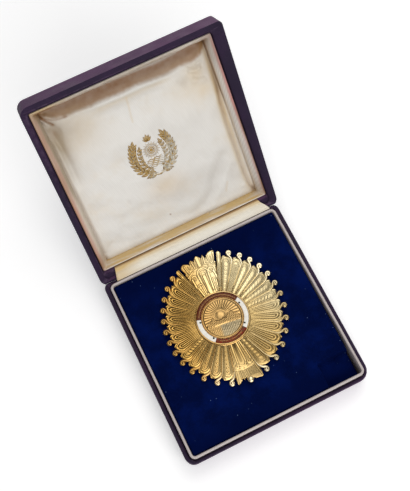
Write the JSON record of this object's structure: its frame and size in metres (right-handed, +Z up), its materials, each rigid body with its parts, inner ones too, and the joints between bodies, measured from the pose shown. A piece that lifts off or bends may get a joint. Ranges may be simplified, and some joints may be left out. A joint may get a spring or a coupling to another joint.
{
  "type": "order breast star in its presentation case",
  "caption": "Domed gold sunburst star with curled petals and a red and white enamelled medallion, lying on velvet in a hinged, satin-lined presentation case.",
  "frame": {"origin": "centre of the case's underside, under the middle of the tray's nominal 130 x 134 mm outline", "axes": "+Z up, +Y from the tray's front to its hinge, +X to the right along the hinge"},
  "size_m": [0.135, 0.232, 0.1185],
  "materials": {
    "leatherette": "purple-black grained leatherette over board",
    "cream_lining": "cream paper cloth over card",
    "velvet": "navy velvet over a light foam block",
    "satin": "cream satin over wadding",
    "gilt_metal": "polished and chased gilt silver",
    "red_enamel": "fired enamel",
    "white_enamel": "fired enamel"
  },
  "bodies": {
    "case": {"case_base": "leatherette", "base_lip": "cream_lining", "velvet_pad": "velvet", "hinge_strip": "satin", "star_plate": "gilt_metal", "medallion_bezel": "gilt_metal", "medallion_disc": "gilt_metal", "enamel_red_upper": "red_enamel", "enamel_red_lower": "red_enamel", "enamel_white_right": "white_enamel", "enamel_white_left": "white_enamel", "brooch_pin": "gilt_metal"},
    "lid": {"case_lid": "leatherette", "lid_side_lining": "satin", "lid_satin_pad": "satin"}
  },
  "joints": [
    {"name": "lid_hinge", "type": "hinge", "parent": "case", "child": "lid", "pos_m": [0, 0.0657, 0.01815], "axis": [1, 0, 0], "range_deg": [0, 131], "deforming": ["hinge_strip"]}
  ]
}
